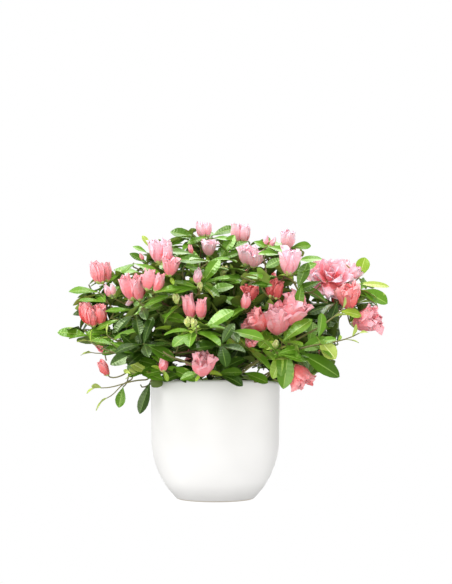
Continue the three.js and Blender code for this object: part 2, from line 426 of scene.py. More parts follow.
def columns_of(rows):
    """The base and the directions of each sheet, then each of its measures, to work on grids of points."""
    starts = [0, 3, 6, *range(9, rows.shape[1] + 1)]
    return [rows[:, None, None, start:end] for start, end in zip(starts, starts[1:])]


def tube(pile, points, radii, sides, relief=lambda angle, distance: 0):
    """Add a closed tube along a line of points. relief gives the share by which the skin stands out, from
    the angle round the tube and the distance along it."""
    angle = round_steps(sides)
    tangents = unit(np.gradient(points, axis=0))
    side = unit(np.cross(tangents[0], [0.31, 0.87, 0.38]))
    out = []
    for tangent in tangents:
        side = square_to(side, tangent)
        out.append(np.outer(np.cos(angle), side) + np.outer(np.sin(angle), np.cross(tangent, side)))
    reach = radii[:, None] * (1 + relief(angle[None, :], distance_along(points)[:, None]))
    rings = points[:, None, :] + np.array(out) * reach[:, :, None]
    pile.add_skin(rings, points[[0, -1]])


# ------------------------------------------------------------------ pot and soil
POT_WALL = 6.5 * MM
POT_TAPER = 0.6 * MM
BELLY_TOP = 66 * MM
BELLY_ARC = 92 * MM
POT_TOE = 5 * MM
POT_FLOOR = 7 * MM
POT_SIDES = 160
RECESS_RADIUS = 34 * MM  # of the hollow under the foot
RECESS_DEPTH = 1.2 * MM
GLAZE_LINE = 1.5 * MM  # the clay is bare from here down
low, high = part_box("pot")
POT_RADIUS = (high[0] - low[0]) / 2
POT_HEIGHT = high[2]
BELLY_CENTRE = POT_RADIUS - POT_TAPER - BELLY_ARC

SOIL_EDGE = 114 * MM
SOIL_DEPTH = 8 * MM  # of the side wall that the rim hides
SOIL_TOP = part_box("soil")[1][2]
SOIL_RADIUS = POT_RADIUS - POT_WALL - 0.4 * MM
SOIL_SIDES, SOIL_RINGS = 120, 44
MOUND_RADIUS = 42 * MM
CRUMBS = 900


def arc(centre, height, radius, start, end, steps):
    angles = np.linspace(start, end, steps + 1)
    return np.stack([centre + radius * np.cos(angles), height + radius * np.sin(angles)], axis=1)


def belly_angle(inset, height):
    return -math.asin((BELLY_TOP - height) / (BELLY_ARC - inset))


def build_pot():
    lip = POT_WALL / 2
    toe_angle = belly_angle(POT_TOE, POT_TOE)
    toe_centre = BELLY_CENTRE + (BELLY_ARC - POT_TOE) * math.cos(toe_angle)
    floor_angle = belly_angle(POT_WALL, POT_FLOOR)
    outline = np.concatenate([
        [(RECESS_RADIUS - RECESS_DEPTH, RECESS_DEPTH)],
        [(RECESS_RADIUS - RECESS_DEPTH / 3, RECESS_DEPTH * 0.7), (RECESS_RADIUS, 0)],
        arc(toe_centre, POT_TOE, POT_TOE, -math.pi / 2, toe_angle, steps=8),
        arc(BELLY_CENTRE, BELLY_TOP, BELLY_ARC, toe_angle, 0, steps=40)[1:],
        arc(POT_RADIUS - lip, POT_HEIGHT - lip, lip, 0, math.pi, steps=16),
        arc(BELLY_CENTRE, BELLY_TOP, BELLY_ARC - POT_WALL, 0, floor_angle, steps=24),
    ])
    bare = (outline[:-1, 1] + outline[1:, 1]) / 2 < GLAZE_LINE
    radius, height = outline.T[:, :, None]
    angle = round_steps(POT_SIDES)
    rings = np.stack([radius * np.cos(angle), radius * np.sin(angle), height + 0 * angle], axis=-1)
    pile = Pile()
    ends = [[0, 0, RECESS_DEPTH], [0, 0, POT_FLOOR]]
    pile.add_skin(rings, ends, np.repeat(bare.astype(int), POT_SIDES))
    pile.piece("pot_glazed", [glaze_finish(), clay_finish()], "glaze", ["pot"])


def soil_height(radius):
    """The height of the peat at a distance from the pot's axis."""
    fall = smoothstep((radius - MOUND_RADIUS) / (SOIL_RADIUS - MOUND_RADIUS))
    return SOIL_TOP + (SOIL_EDGE - SOIL_TOP) * fall


def ripples(rng, count, wavelength):
    """A function of x and y: a sum of sine waves in random directions, from -1 to 1."""
    turns = rng.uniform(0, math.tau, (count, 2))
    pitch = math.tau / (wavelength * rng.uniform(0.6, 1.6, count))

    def height(x, y):
        return sum(
            np.sin(p * (x * math.cos(t) + y * math.sin(t)) + phase) for p, (t, phase) in zip(pitch, turns)
        ) / count

    return height


def build_soil():
    rng = np.random.default_rng(SOIL_SEED)
    rough = ripples(rng, 14, 7 * MM)
    fine = ripples(rng, 20, 2.6 * MM)
    radius = np.linspace(0, SOIL_RADIUS, SOIL_RINGS)[1:, None]
    angle = round_steps(SOIL_SIDES)
    x = radius * np.cos(angle)
    y = radius * np.sin(angle)
    z = soil_height(radius) - 0.9 * MM + 1.6 * MM * rough(x, y) + 1.2 * MM * fine(x, y)
    foot = SOIL_EDGE - SOIL_DEPTH
    wall = np.stack([x[-1:], y[-1:], np.full((1, SOIL_SIDES), foot)], axis=-1)
    pile = Pile()
    rings = np.concatenate([np.stack([x, y, z], axis=-1), wall])
    pile.add_skin(rings, [[0, 0, SOIL_TOP - MM], [0, 0, foot]], inward=True)
    scatter_crumbs(pile, rng)
    pile.piece("soil_peat", [soil_finish()], "soil", ["soil"])


def scatter_crumbs(pile, rng):
    """Loose lumps of peat: uneven octahedra, half sunk into the surface."""
    corners = np.concatenate([[axis, -axis] for axis in np.eye(3)])
    upper = np.array([[0, 2, 4], [2, 1, 4], [1, 3, 4], [3, 0, 4]])
    lower = np.array([[2, 0, 5], [1, 2, 5], [3, 1, 5], [0, 3, 5]])
    faces = np.concatenate([upper, lower])
    reach = (SOIL_RADIUS - 3 * MM) * np.sqrt(rng.random(CRUMBS))
    angles = rng.uniform(0, math.tau, CRUMBS)
    sizes = MM * rng.gamma(3.0, 0.38, CRUMBS).clip(0.4, 3.2)
    for radius, angle, size in zip(reach, angles, sizes):
        lump = corners * rng.uniform(0.6, 1.25, (6, 1)) * size
        spin = rng.uniform(0, math.pi)
        turned = lump @ np.array([
            [math.cos(spin), -math.sin(spin), 0], [math.sin(spin), math.cos(spin), 0], [0, 0, 0.8]
        ])
        place = [radius * math.cos(angle), radius * math.sin(angle), soil_height(radius) - 0.2 * size]
        pile.add(turned + place, faces)


# ------------------------------------------------------------------ trunk and boughs
def limb_axis(node, rings):
    """The middle line and the radii of a CAD limb, from its thick end to its thin end."""
    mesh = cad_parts[node].data
    points = np.empty(len(mesh.vertices) * 3)
    mesh.vertices.foreach_get("co", points)
    points = np.unique(np.round(points.reshape(-1, 3), 7), axis=0)
    middle = points.mean(axis=0)
    direction = np.linalg.svd(points - middle)[2][0]
    order = np.argsort((points - middle) @ direction)
    groups = np.array_split(points[order], rings)
    line = np.array([group.mean(axis=0) for group in groups])
    radii = np.array([
        np.median(np.linalg.norm(group - centre, axis=1)) for group, centre in zip(groups, line)
    ])
    if radii[0] < radii[-1]:
        return line[::-1], radii[::-1]
    return line, radii


def resampled(line, radii, steps):
    """A line and its radii at equal shares of its length."""
    share = distance_along(line)
    share = share / share[-1]
    even = np.linspace(0, 1, steps)
    return points_at(even, share, line), np.interp(even, share, radii)


def bark_relief(rng, depth, furrows):
    """Furrows that run along a limb and wander a little round it."""
    count = 5
    numbers = rng.integers(furrows - 3, furrows + 4, count)
    phases = rng.uniform(0, math.tau, (count, 2))
    pitches = rng.uniform(60, 420, count)

    def relief(angle, distance):
        furrow = sum(
            np.sin(n * angle + 1.6 * np.sin(p * distance + b) + a)
            for n, p, (a, b) in zip(numbers, pitches, phases)
        )
        knots = np.sin(3 * angle + 260 * distance) * np.sin(170 * distance + phases[0][0])
        return depth * (furrow / count + 0.5 * knots)

    return relief


def build_trunk_and_boughs():
    rng = np.random.default_rng(BARK_SEED)
    trunk_pile, bough_pile = Pile(), Pile()
    line, radii = TRUNK
    line = np.vstack([line[0] - [0, 0, 3 * MM], line])
    radii = np.concatenate([radii[:1] * 1.08, radii])
    tube(trunk_pile, *resampled(line, radii, 40), 40, bark_relief(rng, 0.07, 9))
    for line, radii in BOUGHS.values():
        start = line[0] - unit(line[1] - line[0]) * radii[0] * 1.4
        whole = np.vstack([start, line])
        widths = np.concatenate([radii[:1], radii])
        tube(bough_pile, *resampled(whole, widths, 30), 18, bark_relief(rng, 0.06, 6))
    brown = bark_finish()
    trunk_pile.piece("trunk_bark", [brown], "bark", ["trunk"])
    bough_pile.piece("boughs_bark", [brown], "bark", list(BOUGH_NODES.values()))


# ------------------------------------------------------------------ the crown
MASS_NODES = sorted(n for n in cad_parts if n.startswith("foliage_"))
BOUGH_NODES = {n: n.replace("foliage_", "bough_") for n in MASS_NODES}
TRUNK = limb_axis("trunk", 8)
BOUGHS = {mass: limb_axis(bough, 7) for mass, bough in BOUGH_NODES.items()}
HEART = np.array([8 * MM, 0.0, 150 * MM])  # the middle of the crown, from which its sprays look out

TIP_SPACING = 25 * MM
TIP_SINK = (12 * MM, 22 * MM)
INNER_SPACING = 23 * MM
INNER_SINK = (26 * MM, 50 * MM)
FORK_SHARE = (0.34, 0.52)  # where a stem forks, of the way to the middle of its tips
TWIG_RADIUS = 0.75 * MM
SHADE_DEPTH = 70 * MM  # below this much of the crown, leaves are of the deep tone: painted shade
BLOOM_SINK = {"deep_shade": 18}  # how far in some groups of the front's blooms lie, in mm; others 5
SKIRT_HEIGHT = 212 * MM  # from here down the leaves are painted darker towards the soil: painted shade
TRIES = 9000  # places tried at each scattering of twig ends
HIDDEN_BLOOMS = 34  # on the sides, the back and the top
HIDDEN_SPACING = 38 * MM
# The stage and the size in mm of the hidden blooms, and their colour groups, each in turn.
HIDDEN_STAGES = [("half_open", 23), ("half_open", 21), ("cup", 18), ("open", 25), ("bud", 15)]
HIDDEN_GROUPS = ["pink", "pale", "coral", "pink"]

# What shows on the plant's front, by its place on the upright plane through the pot's axis: x and z in
# mm, stage, length of the petals in mm, number of heads, lean to the right and to the front in
# degrees, and the colour group.
FRONT_BLOOMS = [
    (-12, 294, "cup", 17, 4, -4, 8, "pale"),
    (-7, 274, "half_open", 19, 1, 0, 20, "pale"),
    (-57, 272, "cup", 26, 3, -6, 20, "pale"),
    (-49, 254, "half_open", 20, 1, 4, 20, "pink"),
    (-125, 248, "cup", 26, 3, -10, 15, "pink"),
    (-115, 228, "bud", 15, 2, -20, 20, "pale"),
    (-88, 232, "cup", 28, 3, -14, 25, "pink"),
    (-67, 238, "cup", 22, 2, 14, 15, "pink"),
    (-94, 213, "bud", 12, 1, -130, 20, "pale"),
    (-132, 203, "cup", 28, 4, -6, 20, "coral"),
    (-19, 243, "bud", 17, 1, 4, 25, "pale"),
    (-22, 210, "cup", 26, 2, -4, 22, "pink"),
    (-14, 147, "rosebud", 27, 1, 4, 42, "pink"),
    (-57, 148, "bud", 18, 1, 2, 20, "pink"),
    (-122, 142, "cup", 18, 1, -30, 30, "coral"),
    (29, 290, "cup", 23, 3, 2, 12, "pale"),
    (39, 265, "half_open", 23, 2, 10, 25, "pale"),
    (55, 281, "bud", 13, 1, 10, 10, "pale"),
    (63, 280, "bud", 12, 1, 26, 10, "pale"),
    (79, 283, "rosebud", 21, 1, 2, 12, "pale"),
    (81, 260, "rosebud", 28, 1, 6, 15, "pale"),
    (125, 244, "open", 32, 1, 8, 60, "pale"),
    (145, 221, "half_open", 30, 1, -10, 25, "coral"),
    (152, 246, "half_open", 18, 1, 40, 0, "pale"),
    (165, 194, "half_open", 32, 1, 75, 30, "pink"),
    (68, 196, "rosebud", 35, 1, -4, 36, "pink"),
    (86, 206, "half_open", 34, 1, 30, 22, "pink"),
    (45, 194, "half_open", 27, 1, -50, 30, "coral"),
    (39, 171, "half_open", 15, 1, 30, 60, "coral"),
    (39, 225, "half_open", 18, 1, 0, 30, "deep_shade"),
    (33, 215, "cup", 17, 1, 10, 30, "pink"),
    (66, 229, "cup", 19, 3, 10, 20, "deep_shade"),
    (92, 132, "half_open", 28, 1, 148, 10, "coral"),
    (-81, 263, "bud", 11, 1, -20, 10, "pink"),
    (-27, 272, "bud", 11, 1, -10, 20, "pink"),
    (9, 249, "scale_bud", 15, 1, 12, 20, "green"),
    (-43, 219, "scale_bud", 13, 1, -10, 30, "green"),
    (66, 169, "scale_bud", 12, 1, 10, 30, "green"),
    (-17, 232, "scale_bud", 11, 1, -10, 20, "green"),
    (-31, 193, "scale_bud", 11, 1, -10, 20, "green"),
    (-23, 192, "scale_bud", 11, 1, 14, 20, "green"),
]

# Leaves that stand out on the front: x and z of the leaf's middle and the way it points, as an angle from
# the right towards up, length and width, how far its face is turned up from the viewer, and the tone,
# which paints light and shade on the leaf (pale is young leaves' own colour).
FRONT_LEAVES = [
    (-33, 288, 160, 32, 16, 40, "dark"), (9, 292, 24, 27, 14, 40, "dark"),
    (13, 275, 62, 30, 13, 30, "mid"), (16, 240, 6, 34, 16, 50, "dark"),
    (4, 230, 20, 30, 13, 40, "mid"), (94, 275, 6, 20, 11, 25, "mid"),
    (103, 261, 5, 24, 11, 40, "mid"), (160, 252, 74, 24, 16, 20, "fresh"),
    (173, 234, 0, 34, 10, 40, "pale"), (174, 220, -27, 31, 20, 30, "mid"),
    (148, 203, -4, 24, 13, 40, "fresh"), (115, 147, -27, 46, 19, 30, "dark"),
    (122, 163, -50, 26, 15, 10, "pale"), (77, 140, 262, 38, 17, 10, "mid"),
    (68, 146, 250, 30, 13, 15, "fresh"), (-156, 180, 172, 32, 17, 40, "mid"),
    (-144, 227, 172, 32, 15, 50, "mid"), (-103, 110, 258, 24, 12, 10, "mid"),
    (-77, 109, 252, 34, 12, 10, "deep_shade"), (3, 196, 40, 34, 16, 40, "mid"),
    (-48, 186, 176, 34, 10, 60, "fresh"), (-91, 156, 200, 32, 17, 30, "deep_shade"),
    (-73, 206, 20, 30, 15, 45, "mid"), (36, 179, -10, 32, 17, 45, "mid"),
    (89, 185, 42, 36, 16, 40, "mid"), (-96, 248, 170, 30, 15, 50, "mid"),
    (42, 243, 0, 22, 11, 40, "mid"), (-12, 166, 185, 30, 14, 40, "deep_shade"),
    (-135, 216, 172, 28, 10, 55, "mid"), (-74, 251, -20, 28, 10, 45, "mid"),
    (-75, 280, 120, 17, 7, 30, "pale"), (-104, 206, 178, 32, 11, 55, "mid"),
    (-66, 216, 30, 28, 11, 50, "mid"), (-131, 175, -30, 26, 12, 40, "mid"),
    (-100, 165, -20, 28, 13, 40, "mid"), (-5, 249, 60, 30, 13, 30, "mid"),
    (-36, 228, 185, 30, 12, 50, "mid"), (-43, 197, 160, 28, 15, 45, "mid"),
    (-83, 143, 150, 20, 13, 30, "pale"), (-71, 135, -15, 28, 12, 45, "mid"),
    (69, 153, 5, 30, 9, 60, "pale"), (45, 132, -20, 26, 15, 40, "mid"),
    (60, 166, 30, 16, 10, 30, "fresh"), (-52, 228, 15, 28, 12, 50, "mid"),
    (15, 265, 25, 26, 11, 45, "mid"), (-26, 260, 175, 30, 15, 40, "dark"),
    (50, 233, 0, 22, 11, 40, "dark"),
    (92, 221, 260, 24, 10, 20, "mid"), (-60, 160, -25, 34, 14, 35, "dark"),
    (16, 138, 10, 24, 12, 40, "dark"), (-1, 137, -10, 16, 7, 50, "fresh"),
    (-28, 134, 200, 20, 10, 40, "mid"), (-38, 283, 200, 26, 12, 40, "dark"),
    (-84, 262, 150, 22, 10, 40, "dark"),
    (114, 207, 200, 30, 14, 30, "deep_shade"), (128, 200, 250, 28, 13, 30, "deep_shade"),
    (104, 196, 170, 28, 13, 40, "deep_shade"), (110, 222, 150, 26, 12, 40, "dark"),
    (-80, 141, 200, 30, 13, 40, "dark"), (-72, 148, 160, 26, 12, 40, "dark"),
    (-110, 163, 190, 28, 13, 35, "dark"), (116, 186, 20, 28, 12, 45, "mid"),
    (84, 154, -15, 28, 11, 45, "mid"), (-118, 190, 200, 26, 11, 45, "mid"),
    (-98, 154, 205, 34, 15, 30, "deep_shade"), (-88, 146, 240, 26, 13, 30, "dark"),
    (-66, 138, 190, 26, 12, 40, "mid"), (-46, 133, 200, 24, 12, 40, "dark"),
    (-98, 190, 190, 28, 13, 40, "dark"), (-108, 180, 175, 28, 13, 40, "dark"),
    (-84, 184, 160, 26, 12, 40, "deep_shade"), (-120, 172, 165, 24, 11, 40, "mid"),
    (60, 268, 170, 24, 11, 45, "mid"), (66, 258, 200, 22, 11, 40, "dark"),
    (52, 276, 150, 20, 9, 40, "mid"), (24, 276, 200, 24, 11, 40, "dark"),
    (8, 284, 2, 22, 9, 45, "mid"), (-20, 282, 195, 22, 10, 45, "mid"),
    (70, 272, -10, 24, 11, 45, "mid"), (98, 251, 30, 24, 10, 40, "mid"),
    (102, 232, 200, 24, 12, 40, "dark"), (-82, 272, 150, 18, 8, 40, "mid"),
    (118, 172, 15, 26, 11, 45, "mid"), (-128, 182, 175, 26, 12, 40, "mid"),
    (-39, 269, 170, 24, 11, 45, "dark"), (95, 243, 70, 26, 12, 35, "dark"),
]

# Bare twigs that stand out on the front, with a few small leaves at their ends: x and z in mm of their
# starts and ends, their radius at the start and the number of leaves.
FRONT_TWIGS = [
    (-104, 156, -139, 172, 0.8, 2), (-106, 158, -139, 160, 0.7, 2), (-78, 129, -130, 121, 0.8, 2),
    (-92, 129, -122, 108, 0.7, 2), (-94, 166, -118, 178, 0.8, 2), (64, 159, 139, 206, 1.2, 2),
    (92, 163, 157, 180, 0.9, 4), (31, 138, 64, 164, 1.1, 0), (-19, 162, -21, 188, 0.9, 0),
    (-23, 144, -57, 160, 1.3, 0), (-66, 142, -92, 136, 0.8, 4), (44, 128, 88, 156, 1.2, 0),
]

# Places where the background shows between the sprays: x, z, width and height in mm.
SKY = MM * np.array([
    (-34, 152, 20, 15), (-67, 184, 7, 7), (44, 156, 8, 10), (56, 138, 20, 13), (-66, 134, 10, 14),
    (-114, 152, 34, 22), (142, 190, 16, 26),
])

# Hollows of the front where the leaves are painted dark as shade: x, z, width and height in mm.
FRONT_SHADE = MM * np.array([
    (-12, 172, 130, 98), (-92, 190, 62, 52), (112, 200, 52, 46), (-94, 157, 54, 32),
])

# The crown's edges as seen from the front: x and z in mm.
LOWER_EDGE = MM * np.array([
    (-175, 176), (-150, 172), (-135, 166), (-126, 156), (-105, 154), (-92, 142), (-80, 134), (-72, 126),
    (70, 126), (84, 126), (100, 134), (120, 134), (135, 142), (142, 176), (165, 180), (190, 200),
])
UPPER_EDGE = MM * np.array([
    (-172, 184), (-158, 222), (-145, 234), (-139, 256), (-112, 254), (-93, 256), (-79, 268), (-60, 284),
    (-40, 292), (-14, 302), (5, 299), (31, 296), (57, 284), (84, 289), (97, 279), (110, 265), (136, 262),
    (156, 262), (170, 240), (185, 236), (195, 210),
])


def crown_surface():
    """A search tree of all the masses of foliage, with the corners and the mass of each face."""
    vertices, faces, owners = [], [], []
    for mass in MASS_NODES:
        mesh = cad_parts[mass].data
        start = len(vertices)
        vertices.extend(v.co.copy() for v in mesh.vertices)
        faces.extend([start + i for i in p.vertices] for p in mesh.polygons)
        owners.extend([mass] * len(mesh.polygons))
    return BVHTree.FromPolygons(vertices, faces), np.array(vertices)[np.array(faces)], owners


CROWN, CROWN_CORNERS, OWNERS = crown_surface()


def seen_at(x, z, sink):
    """The place on the crown that shows at (x, z) of the upright plane through the pot's axis, sunk
    further back by so much, and its mass. Beside the crown it lies where the nearest mass does."""
    target = np.array([x, 0.0, z])
    direction = unit(target - CAMERA)
    place, _, face, _ = CROWN.ray_cast(Vector(CAMERA), Vector(direction))
    if place is None:
        near, _, face, _ = CROWN.find_nearest(Vector(target))
        place = CAMERA + direction * ((near[1] - CAMERA[1]) / direction[1])
    return np.array(place) + direction * sink, OWNERS[face]


def in_view(x, z, depth):
    """The place at a depth behind the pot's axis that shows at (x, z) of the upright plane."""
    away = np.array([x, 0.0, z]) - CAMERA
    return CAMERA + away * (depth - CAMERA[1]) / -CAMERA[1]


def seen_from_front(places):
    """Where places show on the upright plane through the pot's axis, as x and z."""
    away = places - CAMERA
    plane = CAMERA + away * (-CAMERA[1] / away[..., 1:2])
    return plane[..., [0, 2]]


def within(spots, ovals):
    """Whether spots of the upright plane lie in any of the ovals."""
    offset = (spots[..., None, :] - ovals[:, :2]) / (ovals[:, 2:] / 2)
    return (offset ** 2).sum(axis=-1).min(axis=-1) < 1


class Tip:
    """The end of a twig: its place, the way it points, its mass and the tone of its leaves. It can carry
    groups of blooms, a leaf that stands out, or a bare twig that goes on from it."""

    def __init__(self, place, way, mass, tone, front=False, blooms=(), lead=None, onward=None):
        self.place, self.way, self.mass, self.tone = place, unit(way), mass, tone
        self.front, self.blooms, self.lead, self.onward = front, blooms, lead, onward
        self.twig = None


def leaned(right, front):
    """Up, leaned to the right and to the front by so many degrees."""
    right, front = math.radians(right), math.radians(front)
    across = np.array([math.sin(right), 0, math.cos(right)])
    return unit(across * math.cos(front) + np.array([0, -math.sin(front), 0]))


def front_tips():
    """The twig ends of the blooms, leaves and bare twigs that stand out on the front."""
    tips = []
    for x, z, stage, length, heads, right, front, group in FRONT_BLOOMS:
        way = leaned(right, front)
        size = length * MM
        middle, mass = seen_at(x * MM, z * MM, BLOOM_SINK.get(group, 5) * MM)
        base = middle - way * size * (0.3 if stage == "open" else 0.5)
        stem_way = way + 0.25 * unit(base - HEART) + 0.5 * UP
        tips.append(Tip(base, stem_way, mass, "mid", True, blooms=[(stage, size, heads, way, group)]))
    for x, z, angle, length, width, tilt, tone in FRONT_LEAVES:
        angle, tilt = math.radians(angle), math.radians(tilt)
        middle, mass = seen_at(x * MM, z * MM, 3 * MM)
        way = np.array([math.cos(angle), -0.12, math.sin(angle)])
        base = middle - way * length * MM * 0.5
        face = np.array([0, -math.cos(tilt), math.sin(tilt)])
        lead = (unit(way), face, length * MM, width * MM, tone)
        # A twig whose lead leaf lies in a hollow of the front gets the deep tone for its other leaves:
        # painted shade.
        shaded = tone == "deep_shade" or within(seen_from_front(base), FRONT_SHADE)
        stem_way = way + 0.8 * unit(base - HEART)
        tips.append(Tip(base, stem_way, mass, "deep_shade" if shaded else "mid", True, lead=lead))
    for x, z, end_x, end_z, radius, leaves in FRONT_TWIGS:
        start, mass = seen_at(x * MM, z * MM, 8 * MM)
        end = in_view(end_x * MM, end_z * MM, start[1] - 4 * MM)
        tips.append(Tip(start, end - start, mass, "mid", True, onward=(end, radius * MM, leaves)))
    return tips


def scattered_tips(rng, taken, spacing, sinks, inner=False):
    """Twig ends spread evenly over the outer skin of the masses, clear of those already taken."""
    sides = CROWN_CORNERS[:, 1:] - CROWN_CORNERS[:, :1]
    cross = np.cross(sides[:, 0], sides[:, 1])
    areas = np.linalg.norm(cross, axis=1)
    picks = rng.choice(len(areas), TRIES, p=areas / areas.sum())
    weights = rng.dirichlet((1, 1, 1), TRIES)
    points = np.einsum("nk,nkc->nc", weights, CROWN_CORNERS[picks])
    normals = (cross / areas[:, None])[picks]
    places = [tip.place for tip in taken]
    tips = []
    for pick, point, normal in zip(picks, points, normals):
        outward = unit(point - HEART)
        if normal @ outward < (-0.4 if inner else 0.1):
            continue
        place = point - unit(normal + outward) * rng.uniform(*sinks)
        if np.linalg.norm(np.array(places) - place, axis=1).min() < spacing:
            continue
        if place[2] < POT_HEIGHT + 6 * MM and np.hypot(place[0], place[1]) < POT_RADIUS + 8 * MM:
            continue
        places.append(place)
        way = 0.3 * normal + 0.3 * outward + 1.6 * UP
        tips.append(Tip(place, way, OWNERS[pick], tone_at(rng, place, inner)))
    return tips


def canopy_depth(place):
    """How far a place lies below the top of the crown above it."""
    above = Vector((place[0], place[1], 1.0))
    hit = CROWN.ray_cast(above, Vector((0, 0, -1)))[0]
    return max(hit[2] - place[2], 0.0) if hit else 0.0


def tone_at(rng, place, inner):
    """The tone of the leaves at a place, as painted light and shade: deep for inner twigs, under much of
    the crown, towards the soil and in the front's hollows, fresh on its top, mixed with some chance.
    """
    out_in_light = smoothstep((np.hypot(place[0], place[1]) - 100 * MM) / (40 * MM))
    skirt = smoothstep((SKIRT_HEIGHT - place[2]) / (45 * MM)) * (0.85 - 0.6 * out_in_light)
    shade = max(smoothstep(canopy_depth(place) / SHADE_DEPTH), skirt)
    bright = 0.75 * rng.random() + 0.45 - 0.85 * shade
    if inner or bright < 0.3 or within(seen_from_front(place), FRONT_SHADE):
        return "deep_shade"
    return "dark" if bright < 0.5 else "fresh" if bright > 1.02 else "mid"


def hidden_from_front(place):
    """Whether a good part of the crown stands between the camera and a place and round it."""
    if place[1] < 20 * MM:
        return False
    for right, up in ((0, 0), (20, 0), (-20, 0), (0, 24)):
        away = place + np.array([right, 0, up]) * MM - CAMERA
        hit = CROWN.ray_cast(Vector(CAMERA), Vector(unit(away)))
        if hit[0] is None or np.linalg.norm(away) - hit[3] < 40 * MM:
            return False
    return True


def deal_hidden_blooms(rng, tips):
    """Blooms for the parts of the crown that the front view doesn't show."""
    chosen = []
    for tip in tips:
        if tip.front or unit(tip.place - HEART)[2] <= -0.1 or not hidden_from_front(tip.place):
            continue
        clear = all(np.linalg.norm(tip.place - other.place) > HIDDEN_SPACING for other in chosen)
        if clear and len(chosen) < HIDDEN_BLOOMS:
            chosen.append(tip)
    for tip, (stage, length), group in zip(chosen, cycle(HIDDEN_STAGES), cycle(HIDDEN_GROUPS)):
        size = length * MM * rng.uniform(0.9, 1.1)
        way = unit(unit(tip.place - HEART) + 0.9 * UP)
        heads = 1 if stage in ("open", "bud") else int(rng.integers(2, 4))
        tip.place = tip.place + way * 4 * MM
        tip.blooms = [(stage, size, heads, way, group)]


# ------------------------------------------------------------------ twigs
Stem = namedtuple("Stem", "line radii young")


def curve(rng, start, way, end, end_way, steps, wander=0.05):
    """A smooth line from a start to an end that leaves and arrives in the ways given."""
    length = np.linalg.norm(end - start)
    t = np.linspace(0, 1, steps)[:, None]
    line = (
        (2 * t ** 3 - 3 * t ** 2 + 1) * start + (t ** 3 - 2 * t ** 2 + t) * way * length
        + (3 * t ** 2 - 2 * t ** 3) * end + (t ** 3 - t ** 2) * end_way * length
    )
    sway = rng.normal(0, wander * length, 3)
    return line + np.sin(math.tau * t) * sway * 0.5 + np.sin(math.pi * t) * sway * 0.5


def grow(stems, rng, start, way, radius, tips):
    """Branch on from a start to all the tips: a stem that forks again and again, until each tip has
    its own twig."""
    if len(tips) == 1:
        grow_twig(stems, rng, start, way, radius, tips[0])
        return
    places = np.array([tip.place for tip in tips])
    middle = places.mean(axis=0)
    onward = unit(middle - start)
    fork = start + (middle - start) * rng.uniform(*FORK_SHARE)
    line = curve(rng, start, way, fork, onward, 6, 0.08)
    ways = unit(places - fork)
    ways = ways - ways.mean(axis=0)
    side = ways @ np.linalg.svd(ways)[2][0] > 0
    if side.all() or not side.any():
        side = np.arange(len(tips)) % 2 == 0
    end_radius = max(radius * 0.85, TWIG_RADIUS)
    stems.append(Stem(line, np.linspace(radius, end_radius, len(line)), len(tips) < 3))
    for chosen in (side, ~side):
        group = [tip for tip, own in zip(tips, chosen) if own]
        share = (len(group) / len(tips)) ** 0.42
        grow(stems, rng, fork, onward, max(end_radius * share, TWIG_RADIUS), group)


def grow_twig(stems, rng, start, way, radius, tip):
    """The last twig, to its tip, and the bare twig that may go on from there."""
    tip.twig = curve(rng, start, way, tip.place, tip.way, 8)
    end, end_radius, _ = tip.onward or (None, TWIG_RADIUS, 0)
    radii = np.linspace(max(radius, end_radius), end_radius, len(tip.twig))
    stems.append(Stem(tip.twig, radii, True))
    if tip.onward:
        tip.twig = curve(rng, tip.place, tip.way, end, unit(tip.way + 0.3 * UP), 9, 0.03)
        stems.append(Stem(tip.twig, np.linspace(end_radius, 0.6 * end_radius, len(tip.twig)), True))


def bloom_balls(tips):
    """The middle and the radius of each group of blooms."""
    return [
        (tip.place + way * size * 0.5, size * SHOWN[stage] * (1 + 0.12 * heads))
        for tip in tips for stage, size, heads, way, _ in tip.blooms
    ]


def pass_behind(stems, blooms):
    """Move stems back where they would cross in front of a bloom."""
    for stem in stems:
        seen = seen_from_front(stem.line)
        for centre, radius in blooms:
            near = np.linalg.norm(seen - seen_from_front(centre), axis=1) < 0.6 * radius
            hides = near & (stem.line[:, 1] < centre[1])
            away = unit(stem.line[hides] - CAMERA)
            back = centre[1] + 0.7 * radius - stem.line[hides, 1]
            stem.line[hides] += away * (back / away[:, 1])[:, None]


def build_twigs(stems):
    young, old = Pile(), Pile()
    for stem in stems:
        if stem.young:
            tube(young, stem.line, stem.radii, 5)
        else:
            tube(old, stem.line, stem.radii, 7)
    young.piece("twigs_young", [twig_finish("bark_young", srgb(108, 104, 54))], "bark", MASS_NODES)
    old.piece("twigs_old", [twig_finish("bark_twig", srgb(96, 70, 44))], "bark", MASS_NODES)


# ------------------------------------------------------------------ leaves
LEAF_LENGTH = (25 * MM, 38 * MM)
LEAF_SLENDER = (0.38, 0.49)
LEAF_THICKNESS = 0.4 * MM
LEAF_BLADE = Blade(
    [0, 0.07, 0.16, 0.3, 0.46, 0.62, 0.78, 0.89, 0.96, 1], [-1, -0.55, -0.065, 0.065, 0.55, 1]
)
LEAVES_PER_PIECE = 1000
GOLDEN_ANGLE = math.radians(137.5)  # from each leaf of a twig to the next
WHORL_PITCH = 0.9 * MM  # down the twig from each leaf of the whorl to the next
LOWER_PITCH = 5 * MM  # and between the leaves below it
COLLAR_LEAVES = 3  # small leaves right under a group of blooms
# The parts of a leaf: the name, the roughness and the depth of the veins of each.
LEAF_PARTS = [("leaf", 0.28, 0.1 * MM), ("midrib", 0.4, 0.05 * MM), ("underside", 0.6, 0.06 * MM)]
